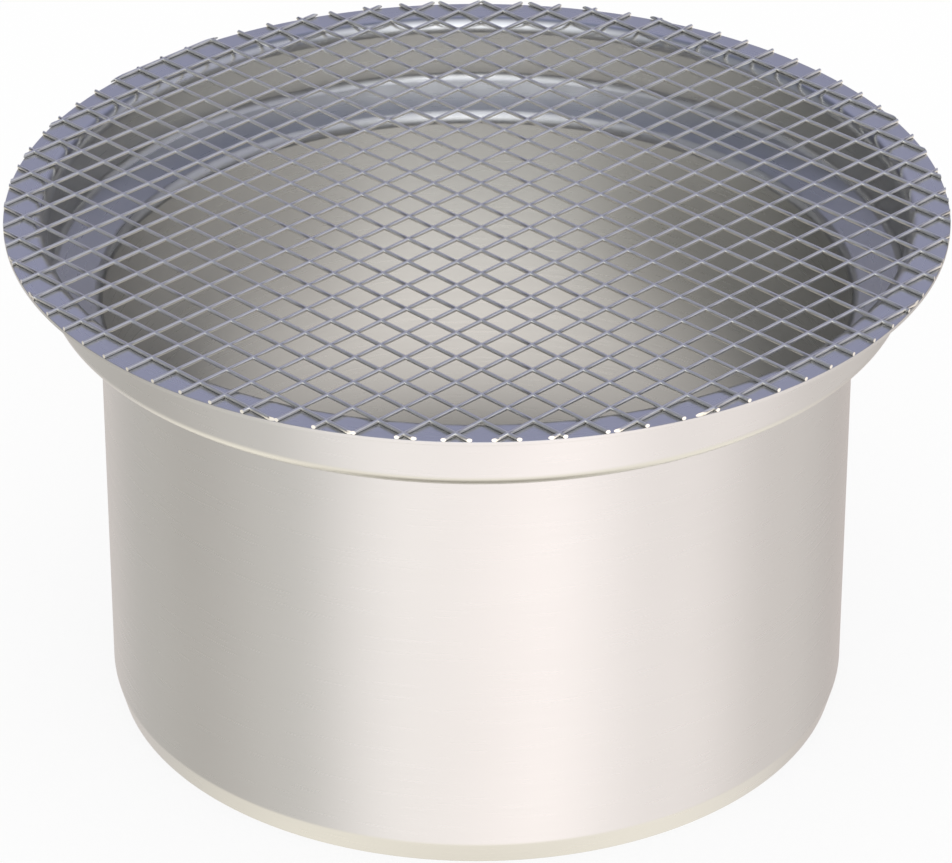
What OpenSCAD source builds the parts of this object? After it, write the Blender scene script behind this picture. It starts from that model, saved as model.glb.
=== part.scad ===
// Chimney spark arrester: a stepped sheet-metal collar with a wire screen over its mouth.
// The collar's narrow end goes down into the flue and its flange rests on the rim of the pot.
// Origin: centre of the lower rim. +Z is up, along the flue.

/* [Flange] */
// Diameter of the flat flange, rim to rim
flange_d = 354; // [344:1:370]
// Thickness of the sheet that the whole collar is formed from
sheet_t = 1.5; // [0.8:0.1:2]
// Inside radius of every bend in the sheet
bend_r = 1.5; // [0.8:0.1:3]

/* [Socket] */
// Outside diameter of the shallow socket under the flange
socket_d = 324.5; // [305:0.5:330]
// Height of the socket wall, from the flange's top face to the socket's lower corner
socket_h = 26.2; // [18:0.1:60]
// Fall of the ledge that joins the socket to the spigot, in degrees
ledge_slope = 21; // [5:1:35]

/* [Spigot] */
// Outside diameter of the spigot
spigot_d = 285; // [260:0.5:295]
// Height of the whole collar, from the lower rim to the flange's top face
collar_h = 201; // [120:1:300]
// Height of the tapered lead-in at the spigot's lower end
lead_h = 9; // [5:0.1:20]
// Outside diameter of the lead-in at its lower rim
lead_d = 280.2; // [255:0.1:284]

/* [Screen] */
// Distance between the centres of neighbouring wires
mesh_pitch = 12.7; // [8:0.1:25]
// Diameter of the wires
wire_d = 1.5; // [1:0.1:2.5]
// Angle of the line wires in plan, in degrees from +X
line_angle = 45; // [0:1:90]
// Sideways offset of the line wires' grid from the collar's axis
line_offset = -2.4; // [-6:0.1:6]
// Sideways offset of the cross wires' grid from the collar's axis
cross_offset = 0; // [-6:0.1:6]

/* [Hidden] */

// Half the sheet's thickness: the profile is drawn about the middle of the sheet
half_t = sheet_t / 2;
// Height of the ledge's mid-line where it meets the socket wall's mid-line
ledge_top_z = collar_h - socket_h + half_t * tan(45 - ledge_slope / 2);
// Height of the ledge's mid-line where it meets the spigot wall's mid-line
ledge_low_z = ledge_top_z - (socket_d - spigot_d) / 2 * tan(ledge_slope);
// Lean of the lead-in's wall from upright
lead_angle = atan((spigot_d - lead_d) / 2 / lead_h);

// Corners of the sheet's mid-line, from the flange's rim inwards and down, as [radius, height]
collar_path = [
  [flange_d / 2, collar_h - half_t],
  [socket_d / 2 - half_t, collar_h - half_t],
  [socket_d / 2 - half_t, ledge_top_z],
  [spigot_d / 2 - half_t, ledge_low_z],
  [spigot_d / 2 - half_t, lead_h + half_t * tan(lead_angle / 2)],
  [lead_d / 2 - half_t / cos(lead_angle), 0],
];

// Largest angle between two points on a bend's arc
bend_step = 10;

// Direction from one point to the next, as a unit vector
function heading(a, b) = (b - a) / norm(b - a);

// A vector turned a quarter turn to the left
function left_of(v) = [-v[1], v[0]];

// A vector turned by an angle
function turned(v, angle) = [v[0] * cos(angle) - v[1] * sin(angle), v[0] * sin(angle) + v[1] * cos(angle)];

// Signed angle of the bend between two headings, positive to the left
function bend_angle(h0, h1) = atan2(h0[0] * h1[1] - h0[1] * h1[0], h0 * h1);

// Points of one bend, on the line that runs a side offset to the left of the mid-line
function bend_points(before, corner, after, side) =
  let (
    h0 = heading(before, corner),
    angle = bend_angle(h0, heading(corner, after)),
    way = sign(angle),
    mid_r = bend_r + half_t,
    centre = corner - h0 * mid_r * tan(abs(angle) / 2) + left_of(h0) * way * mid_r,
    steps = ceil(abs(angle) / bend_step)
  )
  [for (k = [0:steps]) centre - turned(left_of(h0), angle * k / steps) * (way * mid_r - side)];

// One face of the bent sheet, a side offset to the left of the path, with its lower end cut off level
function sheet_face(path, side) =
  let (
    last = len(path) - 1,
    start_h = heading(path[0], path[1]),
    end_h = heading(path[last - 1], path[last])
  )
  concat(
    [path[0] + left_of(start_h) * side],
    [for (k = [1:last - 1]) each bend_points(path[k - 1], path[k], path[k + 1], side)],
    [path[last] + [side / -end_h[1], 0]]
  );

// A list of points from its last to its first
function backwards(points) = [for (k = [len(points) - 1:-1:0]) points[k]];

// Places of the wires of one set, measured across the wires from the collar's axis
function wire_places(offset) =
  let (reach = ceil(flange_d / 2 / mesh_pitch) + 1)
  [
    for (k = [-reach:reach])
      if (abs(k * mesh_pitch + offset) < flange_d / 2 - wire_d) k * mesh_pitch + offset
  ];

// Half the chord of the flange's rim at a distance from the axis
function half_chord(across) = sqrt(pow(flange_d / 2, 2) - across * across);

// The collar: flange, socket, sloping ledge, spigot and lead-in, formed from one sheet
module collar() {
  color("lightgray")
    rotate_extrude($fn = 180)
      polygon(concat(sheet_face(collar_path, half_t), backwards(sheet_face(collar_path, -half_t))));
}

// Everything within the flange's rim, near the level of the screen
module inside_rim() {
  translate([0, 0, collar_h - wire_d])
    cylinder(h = 3 * wire_d, d = flange_d, $fn = 180);
}

// One set of parallel wires lying on the flange, sheared off flush with its rim
module wire_set(angle, offset) {
  intersection() {
    rotate([0, 0, angle])
      for (across = wire_places(offset))
        translate([-half_chord(across) - wire_d, across, collar_h + wire_d / 2])
          rotate([0, 90, 0])
            cylinder(h = 2 * (half_chord(across) + wire_d), d = wire_d, $fn = 16);
    inside_rim();
  }
}

// The screen: line wires and cross wires welded right through where they cross, so that both lie level
module spark_screen() {
  color("silver") {
    wire_set(line_angle, line_offset);
    wire_set(line_angle + 90, cross_offset);
  }
}

collar();
spark_screen();
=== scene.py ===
# %% [markdown]
# # A chimney spark arrester in Blender
# The object is a stepped collar, formed from one sheet of steel, with a square wire mesh welded over
# its mouth. The collar's narrow end drops into the flue, its flange rests on the rim of the pot, and
# the mesh stops sparks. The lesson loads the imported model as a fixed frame, models both pieces again
# with the finish of the real ones, gives them their metals, and sets up a plain studio.

# %% Load the frame
import math
import bpy
import bmesh
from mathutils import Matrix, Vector


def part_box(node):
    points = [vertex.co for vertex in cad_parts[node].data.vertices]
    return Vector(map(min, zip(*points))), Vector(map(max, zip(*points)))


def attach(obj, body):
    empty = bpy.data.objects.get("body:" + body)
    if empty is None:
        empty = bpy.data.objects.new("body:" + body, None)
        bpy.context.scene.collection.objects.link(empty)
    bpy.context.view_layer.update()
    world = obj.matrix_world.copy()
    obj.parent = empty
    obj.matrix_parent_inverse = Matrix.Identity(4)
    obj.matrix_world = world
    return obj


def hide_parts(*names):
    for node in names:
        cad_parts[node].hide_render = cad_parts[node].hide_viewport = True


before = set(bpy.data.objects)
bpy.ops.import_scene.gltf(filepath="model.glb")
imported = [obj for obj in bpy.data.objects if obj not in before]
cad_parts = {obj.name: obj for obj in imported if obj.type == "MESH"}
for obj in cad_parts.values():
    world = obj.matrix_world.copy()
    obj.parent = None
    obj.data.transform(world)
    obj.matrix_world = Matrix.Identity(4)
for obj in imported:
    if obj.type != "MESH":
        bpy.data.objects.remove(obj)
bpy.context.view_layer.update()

# %% [markdown]
# ## Sizes
# The sizes are those of the real part, in metres. The frame gives the two that everything stands on:
# the flange's radius and the height of its top face. The rest is named here once, and each later cell
# works out what it needs from these values. The bends' radius is read from how wide their highlights
# are, because a bend's highlight is as wide as the part of it that mirrors the light.

# %% Sizes of the collar and the screen
collar_low, collar_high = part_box("collar")
FLANGE_R = collar_high.x
COLLAR_H = collar_high.z
SHEET_T = 0.0015
BEND_R = 0.004
SOCKET_R = 0.3245 / 2
SOCKET_H = 0.0262
LEDGE_SLOPE = math.radians(21)
SPIGOT_R = 0.285 / 2
LEAD_H = 0.009
LEAD_R = 0.2802 / 2
MESH_PITCH = 0.0127
WIRE_D = 0.0015
LINE_ANGLE = math.radians(45)
LINE_OFFSET = -0.0024
CROSS_OFFSET = 0.0
HALF_T = SHEET_T / 2
CLOSE = 1e-5
print("flange radius", round(FLANGE_R, 5), "collar height", round(COLLAR_H, 5))

# %% [markdown]
# ## Helpers for modelling by hand
# An operator acts on everything that is selected, and the loaded nodes arrive selected. So each piece
# starts from a clean selection. In edit mode, edges and faces are then picked in code by where they
# are, which is what the mouse does in the window.

# %% Helpers for selecting
def start_clean():
    """Nothing selected, nothing in edit mode."""
    if bpy.context.mode != "OBJECT":
        bpy.ops.object.mode_set(mode="OBJECT")
    bpy.ops.object.select_all(action="DESELECT")


def make_active(piece):
    """Only this piece selected and active."""
    start_clean()
    piece.select_set(True)
    bpy.context.view_layer.objects.active = piece


def pick_edges(piece, wanted):
    """Selects the edges for which wanted(first corner, second corner) is true. Returns how many."""
    bpy.ops.mesh.select_all(action="DESELECT")
    shell = bmesh.from_edit_mesh(piece.data)
    picked = [e for e in shell.edges if wanted(e.verts[0].co, e.verts[1].co)]
    for edge in picked:
        edge.select_set(True)
    bmesh.update_edit_mesh(piece.data)
    return len(picked)


def pick_faces(piece, wanted):
    """Selects the faces for which wanted(face) is true. Returns how many."""
    bpy.ops.mesh.select_all(action="DESELECT")
    shell = bmesh.from_edit_mesh(piece.data)
    picked = [f for f in shell.faces if wanted(f)]
    for face in picked:
        face.select_set(True)
    bmesh.update_edit_mesh(piece.data)
    return len(picked)


def apply_modifier(piece, kind, **settings):
    """Adds one modifier, gives it its settings and applies it."""
    make_active(piece)
    modifier = piece.modifiers.new(kind.lower(), kind)
    for name, value in settings.items():
        setattr(modifier, name, value)
    bpy.ops.object.modifier_apply(modifier=modifier.name)


def report(piece):
    """Prints a piece's size, so that a slip shows at once."""
    triangles = sum(len(p.vertices) - 2 for p in piece.data.polygons)
    print(piece.name, "triangles", triangles, "size", [round(v, 5) for v in piece.dimensions])


# %% [markdown]
# ## The collar
# The real collar is pressed and spun from one sheet: a flat flange, a shallow socket, a ledge that
# falls inwards, the straight spigot and a short tapered lead-in. It could be a profile that is spun
# round the axis. Here it is drawn as a worker would form it: a hoop of edges at the flange's rim is
# extruded inwards and down from corner to corner, the corners are rounded into bends, and Solidify
# gives the sheet its thickness. That keeps each size in one place, and the bends stay true arcs.

# %% Corners of the sheet's mid-line
ledge_top_z = COLLAR_H - SOCKET_H + HALF_T * math.tan(math.radians(45) - LEDGE_SLOPE / 2)
ledge_low_z = ledge_top_z - (SOCKET_R - SPIGOT_R) * math.tan(LEDGE_SLOPE)
lead_angle = math.atan((SPIGOT_R - LEAD_R) / LEAD_H)
CORNERS = [
    (FLANGE_R, COLLAR_H - HALF_T),
    (SOCKET_R - HALF_T, COLLAR_H - HALF_T),
    (SOCKET_R - HALF_T, ledge_top_z),
    (SPIGOT_R - HALF_T, ledge_low_z),
    (SPIGOT_R - HALF_T, LEAD_H + HALF_T * math.tan(lead_angle / 2)),
    (LEAD_R - HALF_T / math.cos(lead_angle), 0.0),
]
ROUND_STEPS = 256
STEPS_PER_RIGHT_ANGLE = 8
print("ledge from", round(ledge_top_z, 5), "down to", round(ledge_low_z, 5))

# %% Extrude the hoop from corner to corner
start_clean()
bpy.ops.mesh.primitive_circle_add(vertices=ROUND_STEPS, radius=FLANGE_R, fill_type="NOTHING")
collar = bpy.context.object
collar.name = "formed_collar"
bpy.ops.object.mode_set(mode="EDIT")
bpy.ops.transform.translate(value=(0, 0, CORNERS[0][1]))
for (from_r, from_z), (to_r, to_z) in zip(CORNERS, CORNERS[1:]):
    bpy.ops.mesh.extrude_region_move(TRANSFORM_OT_translate={"value": (0, 0, to_z - from_z)})
    bpy.ops.transform.resize(value=(to_r / from_r, to_r / from_r, 1), center_override=(0, 0, to_z))
bpy.ops.object.mode_set(mode="OBJECT")
report(collar)

# %% [markdown]
# A bend whose mid-line has radius r and turns by an angle a starts r tan(a/2) before its corner, so
# that is how far each bevel reaches. The bevel's profile of 0.5 is a round one.

# %% Round the corners into bends
def turn_at(before, corner, after):
    """How far the sheet turns at a corner."""
    into = math.atan2(corner[1] - before[1], corner[0] - before[0])
    out = math.atan2(after[1] - corner[1], after[0] - corner[0])
    return abs((out - into + math.pi) % (2 * math.pi) - math.pi)


def at_corner(corner):
    """A test for the edges of one hoop."""
    return lambda a, b: all(
        abs(v.z - corner[1]) < CLOSE and abs(math.hypot(v.x, v.y) - corner[0]) < CLOSE for v in (a, b)
    )


make_active(collar)
bpy.ops.object.mode_set(mode="EDIT")
for before, corner, after in zip(CORNERS, CORNERS[1:], CORNERS[2:]):
    turn = turn_at(before, corner, after)
    picked = pick_edges(collar, at_corner(corner))
    reach = (BEND_R + HALF_T) * math.tan(turn / 2)
    steps = max(2, round(STEPS_PER_RIGHT_ANGLE * turn / math.radians(90)))
    bpy.ops.mesh.bevel(offset=reach, offset_type="OFFSET", segments=steps, profile=0.5, affect="EDGES")
    print("bend of", round(math.degrees(turn), 1), "degrees on", picked, "edges, reach", round(reach, 5))
bpy.ops.mesh.select_all(action="SELECT")
bpy.ops.mesh.normals_make_consistent(inside=False)
bpy.ops.object.mode_set(mode="OBJECT")

# %% Give the sheet its thickness and ease the cut edges
CUT_EDGE = 0.00015
SHARPEST_BEND = math.radians(60)
FACE_WEIGHT = 50

apply_modifier(collar, "SOLIDIFY", thickness=SHEET_T, offset=0.0, use_even_offset=True)
make_active(collar)
bpy.ops.object.mode_set(mode="EDIT")
pick_edges(collar, lambda a, b: max(a.z, b.z) < SHEET_T / 2)
bpy.ops.transform.resize(value=(1, 1, 0), center_override=(0, 0, 0))
bpy.ops.mesh.select_all(action="SELECT")
bpy.ops.mesh.normals_make_consistent(inside=False)
bpy.ops.object.mode_set(mode="OBJECT")
apply_modifier(
    collar, "BEVEL", width=CUT_EDGE, segments=2, limit_method="ANGLE", angle_limit=SHARPEST_BEND
)
bpy.ops.object.shade_smooth()
apply_modifier(collar, "WEIGHTED_NORMAL", mode="FACE_AREA", weight=FACE_WEIGHT, keep_sharp=False)
report(collar)

# %% [markdown]
# ## The spark screen
# The real screen is a sheet of welded mesh, cut round. Every crossing is the same, so one crossing is
# modelled with care and the rest are copies: two short wires are joined by a boolean, and the edge
# where they meet is bevelled into the small fillet that a weld leaves. Arrays copy that cell over the
# whole flange, and a boolean with a disc shears the mesh off flush with the flange's rim.

# %% One crossing of two wires
WIRE_SIDES = 12
WIRE_Z = COLLAR_H + WIRE_D / 2
WELD_FILLET = 0.0001


def short_wire(name, turn):
    """A wire one pitch long through the origin."""
    start_clean()
    bpy.ops.mesh.primitive_cylinder_add(
        vertices=WIRE_SIDES, radius=WIRE_D / 2, depth=MESH_PITCH, rotation=(0, math.radians(90), turn)
    )
    wire = bpy.context.object
    wire.name = name
    bpy.ops.object.transform_apply(location=True, rotation=True, scale=True)
    return wire


screen = short_wire("welded_screen", 0)
crossing = short_wire("crossing_wire", math.radians(90))
apply_modifier(screen, "BOOLEAN", object=crossing, operation="UNION", solver="EXACT")
bpy.data.objects.remove(crossing)
report(screen)

# %% Weld fillet, and open ends so that the copies join
def on_diagonal(point):
    """Whether a point lies where the two wires meet, on a diagonal between them."""
    return abs(abs(point.x) - abs(point.y)) < CLOSE and abs(point.x) < WIRE_D


def is_end_cap(face):
    """Whether a face closes the end of a wire."""
    middle = face.calc_center_median()
    return max(abs(middle.x), abs(middle.y)) > MESH_PITCH / 2 - CLOSE


make_active(screen)
bpy.ops.object.mode_set(mode="EDIT")
seams = pick_edges(screen, lambda a, b: on_diagonal(a) and on_diagonal(b))
bpy.ops.mesh.bevel(offset=WELD_FILLET, segments=1, affect="EDGES")
caps = pick_faces(screen, is_end_cap)
bpy.ops.mesh.delete(type="FACE")
bpy.ops.object.mode_set(mode="OBJECT")
print("seam edges", seams, "end caps", caps)
report(screen)

# %% Copy the crossing over the flange
cells_out = math.ceil(FLANGE_R / MESH_PITCH) + 1
count = 2 * cells_out + 1
for way in ((MESH_PITCH, 0, 0), (0, MESH_PITCH, 0)):
    apply_modifier(
        screen,
        "ARRAY",
        count=count,
        use_relative_offset=False,
        use_constant_offset=True,
        constant_offset_displace=way,
        use_merge_vertices=True,
        merge_threshold=CLOSE,
    )
make_active(screen)
bpy.ops.object.mode_set(mode="EDIT")
bpy.ops.mesh.select_all(action="SELECT")
corner_x = -cells_out * MESH_PITCH - CROSS_OFFSET
corner_y = -cells_out * MESH_PITCH + LINE_OFFSET
bpy.ops.transform.translate(value=(corner_x, corner_y, WIRE_Z))
bpy.ops.transform.rotate(value=-LINE_ANGLE, orient_axis="Z", center_override=(0, 0, 0))
bpy.ops.mesh.select_all(action="SELECT")
bpy.ops.mesh.fill_holes(sides=0)
bpy.ops.mesh.select_all(action="SELECT")
bpy.ops.mesh.normals_make_consistent(inside=False)
bpy.ops.object.mode_set(mode="OBJECT")
report(screen)

# %% Shear the mesh off at the flange's rim
CUTTER_DEPTH = 4 * WIRE_D

start_clean()
bpy.ops.mesh.primitive_cylinder_add(
    vertices=ROUND_STEPS, radius=FLANGE_R, depth=CUTTER_DEPTH, location=(0, 0, WIRE_Z)
)
disc = bpy.context.object
bpy.ops.object.transform_apply(location=True, rotation=True, scale=True)
apply_modifier(screen, "BOOLEAN", object=disc, operation="INTERSECT", solver="MANIFOLD")
bpy.data.objects.remove(disc)
report(screen)

# %% [markdown]
# The cut leaves some points that only two edges share. Where two neighbouring faces have such a
# point in common, both can be given the same thin triangle when the mesh is written to a file. So
# these points are dissolved, which moves the cut edge by less than a tenth of a millimetre.

# %% Dissolve the spare points of the cut
WIRE_CREASE = math.radians(50)


def pick_points(piece, wanted):
    """Selects the points for which wanted(point) is true. Returns how many."""
    bpy.ops.mesh.select_all(action="DESELECT")
    shell = bmesh.from_edit_mesh(piece.data)
    picked = [v for v in shell.verts if wanted(v)]
    for point in picked:
        point.select_set(True)
    bmesh.update_edit_mesh(piece.data)
    return len(picked)


make_active(screen)
bpy.ops.object.mode_set(mode="EDIT")
spare = pick_points(screen, lambda point: len(point.link_edges) == 2)
bpy.ops.mesh.dissolve_verts()
bpy.ops.object.mode_set(mode="OBJECT")
bpy.ops.object.shade_smooth_by_angle(angle=WIRE_CREASE)
print("spare points", spare)
report(screen)

# %% Both pieces ride on the frame
for piece, node, slot in (
    (collar, "collar", "collar_steel"),
    (screen, "spark_screen", "screen_wire"),
):
    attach(piece, "root")
    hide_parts(node)
    print(piece.name, "stands for", node, "with slot", slot)

# %% [markdown]
# ## The metals
# Both pieces are plain satin steel, and what tells them apart is how they were made. The collar was
# spun, so its grain runs round the axis as very fine lines. The wires were drawn, so they are
# almost without grain. Their paler base colour is partly the brighter drawn wire and partly painted
# light, which makes up for the dim room that the wires see. Real metal is never quite even, so both
# share one group that puts out soft mottling and fine grain from Object coordinates.

# %% A shared group for grain and mottling
GRAIN_DETAIL = 3.0
MOTTLE_DETAIL = 2.0
STRETCH_ROUND_AXIS = 0.004


def add_node(tree, kind, **settings):
    """Adds one node and gives it its settings."""
    node = tree.nodes.new(kind)
    for name, value in settings.items():
        setattr(node, name, value)
    return node


def make_grain_group():
    """Grain stretched round the axis, and mottling in large soft patches."""
    tree = bpy.data.node_groups.new("spun_grain", "ShaderNodeTree")
    interface = tree.interface
    for name, value in (("Grain Scale", 900.0), ("Mottle Scale", 12.0)):
        socket = interface.new_socket(name=name, in_out="INPUT", socket_type="NodeSocketFloat")
        socket.default_value = value
    for name in ("Grain", "Mottle"):
        interface.new_socket(name=name, in_out="OUTPUT", socket_type="NodeSocketFloat")
    given = add_node(tree, "NodeGroupInput")
    put_out = add_node(tree, "NodeGroupOutput")
    place = add_node(tree, "ShaderNodeTexCoord")
    split = add_node(tree, "ShaderNodeSeparateXYZ")
    squared = [add_node(tree, "ShaderNodeMath", operation="MULTIPLY") for _ in "xy"]
    total = add_node(tree, "ShaderNodeMath", operation="ADD")
    radius = add_node(tree, "ShaderNodeMath", operation="SQRT")
    ring = add_node(tree, "ShaderNodeCombineXYZ")
    angle = add_node(tree, "ShaderNodeMath", operation="ARCTAN2")
    slow_angle = add_node(tree, "ShaderNodeMath", operation="MULTIPLY")
    slow_angle.inputs[1].default_value = STRETCH_ROUND_AXIS
    grain = add_node(tree, "ShaderNodeTexNoise")
    grain.inputs["Detail"].default_value = GRAIN_DETAIL
    mottle = add_node(tree, "ShaderNodeTexNoise")
    mottle.inputs["Detail"].default_value = MOTTLE_DETAIL
    link = tree.links.new
    link(place.outputs["Object"], split.inputs[0])
    for node, axis in zip(squared, ("X", "Y")):
        link(split.outputs[axis], node.inputs[0])
        link(split.outputs[axis], node.inputs[1])
    link(squared[0].outputs[0], total.inputs[0])
    link(squared[1].outputs[0], total.inputs[1])
    link(total.outputs[0], radius.inputs[0])
    link(split.outputs["Y"], angle.inputs[0])
    link(split.outputs["X"], angle.inputs[1])
    link(angle.outputs[0], slow_angle.inputs[0])
    link(radius.outputs[0], ring.inputs["X"])
    link(slow_angle.outputs[0], ring.inputs["Y"])
    link(split.outputs["Z"], ring.inputs["Z"])
    link(ring.outputs[0], grain.inputs["Vector"])
    link(given.outputs["Grain Scale"], grain.inputs["Scale"])
    link(place.outputs["Object"], mottle.inputs["Vector"])
    link(given.outputs["Mottle Scale"], mottle.inputs["Scale"])
    link(grain.outputs["Fac"], put_out.inputs["Grain"])
    link(mottle.outputs["Fac"], put_out.inputs["Mottle"])
    return tree


grain_group = make_grain_group()
print("shared group", grain_group.name)

# %% Steel for the collar and for the wires
def ranged(tree, source, low, high):
    """A value from 0 to 1 brought into a range."""
    node = add_node(tree, "ShaderNodeMapRange")
    node.inputs["To Min"].default_value = low
    node.inputs["To Max"].default_value = high
    tree.links.new(source, node.inputs["Value"])
    return node.outputs["Result"]


def make_steel(name, dark, light, rough, grain_scale, grain_depth):
    """Satin steel: two close colours mixed by the mottling, grain in the roughness and the bump."""
    material = bpy.data.materials.new(name)
    material.use_nodes = True
    tree = material.node_tree
    shader = tree.nodes["Principled BSDF"]
    shader.inputs["Metallic"].default_value = 1.0
    group = add_node(tree, "ShaderNodeGroup", node_tree=grain_group)
    group.inputs["Grain Scale"].default_value = grain_scale
    mix = add_node(tree, "ShaderNodeMix", data_type="RGBA")
    mix.inputs["A"].default_value = (*dark, 1)
    mix.inputs["B"].default_value = (*light, 1)
    bump = add_node(tree, "ShaderNodeBump")
    bump.inputs["Distance"].default_value = grain_depth
    link = tree.links.new
    link(group.outputs["Mottle"], mix.inputs["Factor"])
    link(mix.outputs["Result"], shader.inputs["Base Color"])
    link(ranged(tree, group.outputs["Grain"], rough[0], rough[1]), shader.inputs["Roughness"])
    link(group.outputs["Grain"], bump.inputs["Height"])
    link(bump.outputs["Normal"], shader.inputs["Normal"])
    return material


collar_steel = make_steel(
    "collar_steel",
    dark=(0.63, 0.63, 0.63),
    light=(0.67, 0.67, 0.67),
    rough=(0.24, 0.34),
    grain_scale=1400.0,
    grain_depth=0.000008,
)
# The wires' base colour is partly painted light: paler than steel, to make up for the dim room they see.
wire_steel = make_steel(
    "screen_wire_steel",
    dark=(0.95, 0.93, 0.87),
    light=(0.99, 0.97, 0.91),
    rough=(0.26, 0.32),
    grain_scale=2000.0,
    grain_depth=0.000001,
)
for piece, material in ((collar, collar_steel), (screen, wire_steel)):
    piece.data.materials.clear()
    piece.data.materials.append(material)
    print(piece.name, "is made of", material.name)
for node, material in (("collar", collar_steel), ("spark_screen", wire_steel)):
    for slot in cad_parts[node].material_slots:
        slot.material = material

# %% [markdown]
# ## The studio
# Metal shows what stands round it, so the studio is most of its look. The camera sees a white floor
# with a faint shadow. The metal sees soft sources in the world instead, each with only a direction,
# a width and a colour, and they add up. The spigot mirrors what lies below it, so there are sources
# below the horizon too, and the metal sees them through the floor. They stand in upright bands along
# the tube. Steep rays see a warm pale tone, which is the band on the lead-in, and rays straight down
# see the shade under the ledge, which is the dark line along the step. Inside the spigot the metal
# sees the floor itself, which glows with painted light and shade: a bright middle, dim sides, and a
# painted shade of the well for steep rays.

# %% Light that adds up
def plain_colour(tree, colour):
    """One colour, as the start of a sum."""
    node = add_node(tree, "ShaderNodeCombineXYZ")
    for socket, value in zip(node.inputs, colour):
        socket.default_value = value
    return node.outputs[0]


def add_light(tree, total, strength, colour):
    """The total so far plus a colour, as strong as the strength says."""
    scaled = add_node(tree, "ShaderNodeVectorMath", operation="SCALE")
    scaled.inputs[0].default_value = colour
    summed = add_node(tree, "ShaderNodeVectorMath", operation="ADD")
    tree.links.new(strength, scaled.inputs["Scale"])
    tree.links.new(total, summed.inputs[0])
    tree.links.new(scaled.outputs[0], summed.inputs[1])
    return summed.outputs[0]


def faded(tree, total, amount, colour):
    """The total so far, changed towards a colour by an amount from 0 to 1."""
    mix = add_node(tree, "ShaderNodeMix", data_type="RGBA")
    mix.inputs["B"].default_value = (*colour, 1)
    tree.links.new(amount, mix.inputs["Factor"])
    tree.links.new(total, mix.inputs["A"])
    return mix.outputs["Result"]


def soft_range(tree, value, none_at, full_at):
    """0 where the value is none_at and 1 where it is full_at, with a soft change between."""
    node = add_node(tree, "ShaderNodeMapRange", interpolation_type="SMOOTHSTEP")
    node.inputs["From Min"].default_value = none_at
    node.inputs["From Max"].default_value = full_at
    tree.links.new(value, node.inputs["Value"])
    return node.outputs["Result"]


def multiplied(tree, first, second):
    """Two values multiplied."""
    node = add_node(tree, "ShaderNodeMath", operation="MULTIPLY")
    tree.links.new(first, node.inputs[0])
    tree.links.new(second, node.inputs[1])
    return node.outputs[0]


def add_sources(tree, total, way, sources, here=None):
    """The total so far plus soft sources, each with a name, a direction, a half width and a colour."""
    for name, direction, half_width, colour in sources:
        towards = add_node(tree, "ShaderNodeVectorMath", operation="DOT_PRODUCT", label=name)
        towards.inputs[1].default_value = Vector(direction).normalized()
        tree.links.new(way, towards.inputs[0])
        edge = math.cos(math.radians(half_width))
        strength = soft_range(tree, towards.outputs["Value"], edge, 1.0)
        if here is not None:
            strength = multiplied(tree, strength, here)
        total = add_light(tree, total, strength, colour)
    return total


print("helpers for light that adds up")

# %% The floor inside the spigot
RIM_R = LEAD_R - HALF_T
SLANT_RANGE = (0.6, 0.9)
# Painted light and shade on the floor inside the spigot: a bright middle, dim sides, and a painted shade
# of the well for steep rays.
MIDDLE_COLOUR = (1.26, 1.19, 1.11)
WELL_PAINTED_SHADE = (0.20, 0.18, 0.16)
INNER_SIDES = (
    ("inside, to the front", (0, -1, 0), 90, (0.87, 0.87, 0.82)),
    ("inside, to the right", (1, 0, 0), 90, (0.44, 0.42, 0.39)),
    ("inside, to the back", (0, 1, 0), 90, (0.12, 0.12, 0.12)),
    ("inside, to the left", (-1, 0, 0), 90, (0.12, 0.12, 0.10)),
)


def floor_inside(tree, place, radius):
    """The floor's painted light by place, with a painted shade of the well for steep rays."""
    way = add_node(tree, "ShaderNodeVectorMath", operation="NORMALIZE")
    facing = add_node(tree, "ShaderNodeLayerWeight").outputs["Facing"]
    tree.links.new(place, way.inputs[0])
    off_axis = soft_range(tree, radius, 0.0, RIM_R)
    total = plain_colour(tree, (0, 0, 0))
    total = add_light(tree, total, soft_range(tree, radius, RIM_R, 0.0), MIDDLE_COLOUR)
    total = add_sources(tree, total, way.outputs[0], INNER_SIDES, off_axis)
    # Painted shade: steep rays see the dark well colour in place of the shadow inside the spigot.
    steep = soft_range(tree, facing, 1 - SLANT_RANGE[0], 1 - SLANT_RANGE[1])
    return faded(tree, total, steep, WELL_PAINTED_SHADE)


print(len(INNER_SIDES), "soft sources in the floor inside the spigot")

# %% Floor
FLOOR_R = 6.0
RIM_EDGE = 0.001
GLOW_SHARE = 0.85
FLOOR_WHITE = (0.95, 0.95, 0.95, 1)


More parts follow.
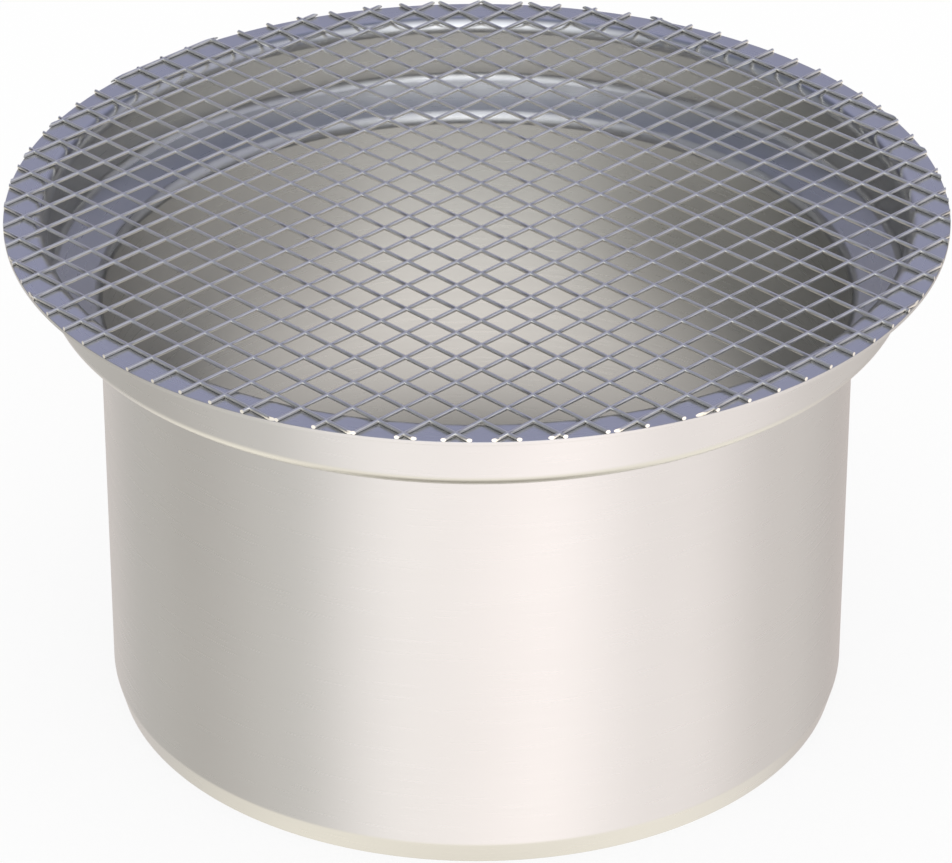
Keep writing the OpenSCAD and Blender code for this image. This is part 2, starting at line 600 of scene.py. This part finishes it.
def make_floor():
    """White with a faint shadow to the camera. To the metal it glows inside the spigot only."""
    material = bpy.data.materials.new("pale_floor")
    material.use_nodes = True
    material.cycles.emission_sampling = "NONE"
    tree = material.node_tree
    tree.nodes.clear()
    link = tree.links.new
    place = add_node(tree, "ShaderNodeTexCoord").outputs["Object"]
    away = add_node(tree, "ShaderNodeVectorMath", operation="LENGTH")
    link(place, away.inputs[0])
    radius = away.outputs["Value"]
    path = add_node(tree, "ShaderNodeLightPath")
    seen = add_node(tree, "ShaderNodeMix", data_type="RGBA")
    seen.inputs["B"].default_value = (1, 1, 1, 1)
    glow = add_node(tree, "ShaderNodeEmission")
    lit = add_node(tree, "ShaderNodeBsdfDiffuse")
    lit.inputs["Color"].default_value = FLOOR_WHITE
    share = add_node(tree, "ShaderNodeMath", operation="MULTIPLY_ADD")
    share.inputs[1].default_value = GLOW_SHARE
    whole = add_node(tree, "ShaderNodeMath", operation="ADD", use_clamp=True)
    mix = add_node(tree, "ShaderNodeMixShader")
    clear = add_node(tree, "ShaderNodeBsdfTransparent")
    seen_through = add_node(tree, "ShaderNodeMixShader")
    end = add_node(tree, "ShaderNodeOutputMaterial")
    link(path.outputs["Is Camera Ray"], seen.inputs["Factor"])
    link(floor_inside(tree, place, radius), seen.inputs["A"])
    link(seen.outputs["Result"], glow.inputs["Color"])
    link(path.outputs["Is Camera Ray"], share.inputs[0])
    link(path.outputs["Is Glossy Ray"], share.inputs[2])
    link(share.outputs[0], whole.inputs[0])
    link(path.outputs["Is Transmission Ray"], whole.inputs[1])
    link(whole.outputs[0], mix.inputs["Fac"])
    link(lit.outputs[0], mix.inputs[1])
    link(glow.outputs[0], mix.inputs[2])
    outside = soft_range(tree, radius, RIM_R - RIM_EDGE, RIM_R + RIM_EDGE)
    link(multiplied(tree, path.outputs["Is Glossy Ray"], outside), seen_through.inputs["Fac"])
    link(mix.outputs[0], seen_through.inputs[1])
    link(clear.outputs[0], seen_through.inputs[2])
    link(seen_through.outputs[0], end.inputs["Surface"])
    return material


start_clean()
bpy.ops.mesh.primitive_circle_add(vertices=64, radius=FLOOR_R, fill_type="NGON")
floor = bpy.context.object
floor.name = "studio_floor"
floor.data.materials.append(make_floor())
print("floor", floor.name, "with", floor.data.materials[0].name)

# %% [markdown]
# ## Below the horizon
# Outside the spigot the floor is clear to the metal, so what it mirrors there is the world's lower
# half. Seen from the flange, the floor's far edge lies a little below the horizon, and the light of
# the room changes into the light from below between the two.

# %% What the metal sees below the horizon
HORIZON_DIP = COLLAR_H / FLOOR_R
SLANT_COLOUR = (1.26, 1.19, 1.02)
BELOW_RANGE = (0.92, 1.0)
BELOW_COLOUR = (0.35, 0.31, 0.24)
LOWER_SOURCES = (
    ("front", (0, -1, 0), 60, (0.93, 0.85, 0.82)),
    ("front right", (1, -1, 0), 60, (0.74, 0.70, 0.68)),
    ("right", (1, 0, 0), 60, (0.60, 0.55, 0.52)),
    ("back right", (1, 1, 0), 60, (0.35, 0.34, 0.32)),
    ("back", (0, 1, 0), 60, (0.42, 0.36, 0.34)),
    ("back left", (-1, 1, 0), 60, (0.45, 0.45, 0.43)),
    ("left", (-1, 0, 0), 60, (0.28, 0.25, 0.22)),
    ("front left", (-1, -1, 0), 60, (0.55, 0.55, 0.53)),
)


def below_horizon(tree, way, height):
    """Upright bands of light all round, one tone for steep rays and one for rays straight down."""
    level = add_node(tree, "ShaderNodeVectorMath", operation="MULTIPLY")
    level.inputs[1].default_value = (1, 1, 0)
    level_way = add_node(tree, "ShaderNodeVectorMath", operation="NORMALIZE")
    tree.links.new(way, level.inputs[0])
    tree.links.new(level.outputs[0], level_way.inputs[0])
    total = add_sources(tree, plain_colour(tree, (0, 0, 0)), level_way.outputs[0], LOWER_SOURCES)
    slant = soft_range(tree, height, -SLANT_RANGE[0], -SLANT_RANGE[1])
    below = soft_range(tree, height, -BELOW_RANGE[0], -BELOW_RANGE[1])
    total = faded(tree, total, slant, SLANT_COLOUR)
    return faded(tree, total, below, BELOW_COLOUR)


print(len(LOWER_SOURCES), "soft sources below the horizon")

# %% Room
ROOM_COLOUR = (0.03, 0.03, 0.04)
BACKDROP_TOP = 0.2
BACKDROP_COLOUR = (0.12, 0.08, 0.04)
ROOM_SOURCES = (
    ("back wall", (0, 0.87, 0.5), 34, (0.34, 0.34, 0.45)),
    ("back wall, top", (0, 0.6, 0.8), 40, (0.07, 0.09, 0.16)),
    ("ceiling", (0, 0, 1), 40, (0.18, 0.19, 0.22)),
    ("right wall", (0.8, 0, 0.6), 40, (0.56, 0.58, 0.68)),
    ("left wall", (-0.8, 0, 0.6), 40, (0.28, 0.30, 0.34)),
    ("front wall", (0, -0.75, 0.65), 45, (0.80, 0.84, 0.88)),
    ("front wall, top", (0, -0.35, 0.94), 40, (0.67, 0.68, 0.72)),
)


def make_room():
    """White, but to the metal a dim room with soft sources above and below the horizon."""
    world = bpy.data.worlds.new("studio")
    bpy.context.scene.world = world
    world.use_nodes = True
    world.cycles.sampling_method = "NONE"
    tree = world.node_tree
    tree.nodes.clear()
    link = tree.links.new
    way = add_node(tree, "ShaderNodeTexCoord").outputs["Generated"]
    split = add_node(tree, "ShaderNodeSeparateXYZ")
    link(way, split.inputs[0])
    height = split.outputs["Z"]
    near_floor = soft_range(tree, height, BACKDROP_TOP, 0.0)
    total = add_light(tree, plain_colour(tree, ROOM_COLOUR), near_floor, BACKDROP_COLOUR)
    total = add_sources(tree, total, way, ROOM_SOURCES)
    horizon = add_node(tree, "ShaderNodeMix", data_type="RGBA")
    link(soft_range(tree, height, 0.0, -HORIZON_DIP), horizon.inputs["Factor"])
    link(total, horizon.inputs["A"])
    link(below_horizon(tree, way, height), horizon.inputs["B"])
    room = add_node(tree, "ShaderNodeBackground")
    white = add_node(tree, "ShaderNodeBackground")
    white.inputs["Color"].default_value = (1, 1, 1, 1)
    path = add_node(tree, "ShaderNodeLightPath")
    mix = add_node(tree, "ShaderNodeMixShader")
    end = add_node(tree, "ShaderNodeOutputWorld")
    link(horizon.outputs["Result"], room.inputs["Color"])
    link(path.outputs["Is Glossy Ray"], mix.inputs["Fac"])
    link(white.outputs[0], mix.inputs[1])
    link(room.outputs[0], mix.inputs[2])
    link(mix.outputs[0], end.inputs["Surface"])
    return world


room = make_room()
print("world", room.name, "with", len(ROOM_SOURCES), "soft sources")

# %% Lamp
PART_MIDDLE = Vector((0, 0, COLLAR_H / 2))
SOFTBOX_PLACE = Vector((0.1, -1.5, 1.3))
SOFTBOX_SIZE = 1.0
SOFTBOX_WATTS = 2.8

start_clean()
bpy.ops.object.light_add(type="AREA", location=SOFTBOX_PLACE)
softbox = bpy.context.object
softbox.name = "front_softbox"
softbox.data.shape = "SQUARE"
softbox.data.size = SOFTBOX_SIZE
softbox.data.energy = SOFTBOX_WATTS
softbox.rotation_euler = (SOFTBOX_PLACE - PART_MIDDLE).to_track_quat("Z", "Y").to_euler()
print("lamp", softbox.name, softbox.data.energy, "W")

# %% [markdown]
# ## The camera
# The photograph was taken from the front and above, from far off with a long lens, so the round
# flange is a wide ellipse and the wires hardly converge.

# %% Camera
CAMERA_PLACE = Vector((-0.0003, -1.6738, 1.07025))
CAMERA_PITCH = math.radians(59.979)
CAMERA_LENS = 190.1
SENSOR_WIDTH = 36.0
camera_data = bpy.data.cameras.new("camera")
camera_data.lens = CAMERA_LENS
camera_data.sensor_width = SENSOR_WIDTH
camera = bpy.data.objects.new("camera", camera_data)
bpy.context.scene.collection.objects.link(camera)
camera.location = CAMERA_PLACE
camera.rotation_euler = (CAMERA_PITCH, 0, 0)
bpy.context.scene.camera = camera
bpy.context.scene.view_settings.view_transform = "Standard"
print("camera at", tuple(round(v, 4) for v in CAMERA_PLACE))
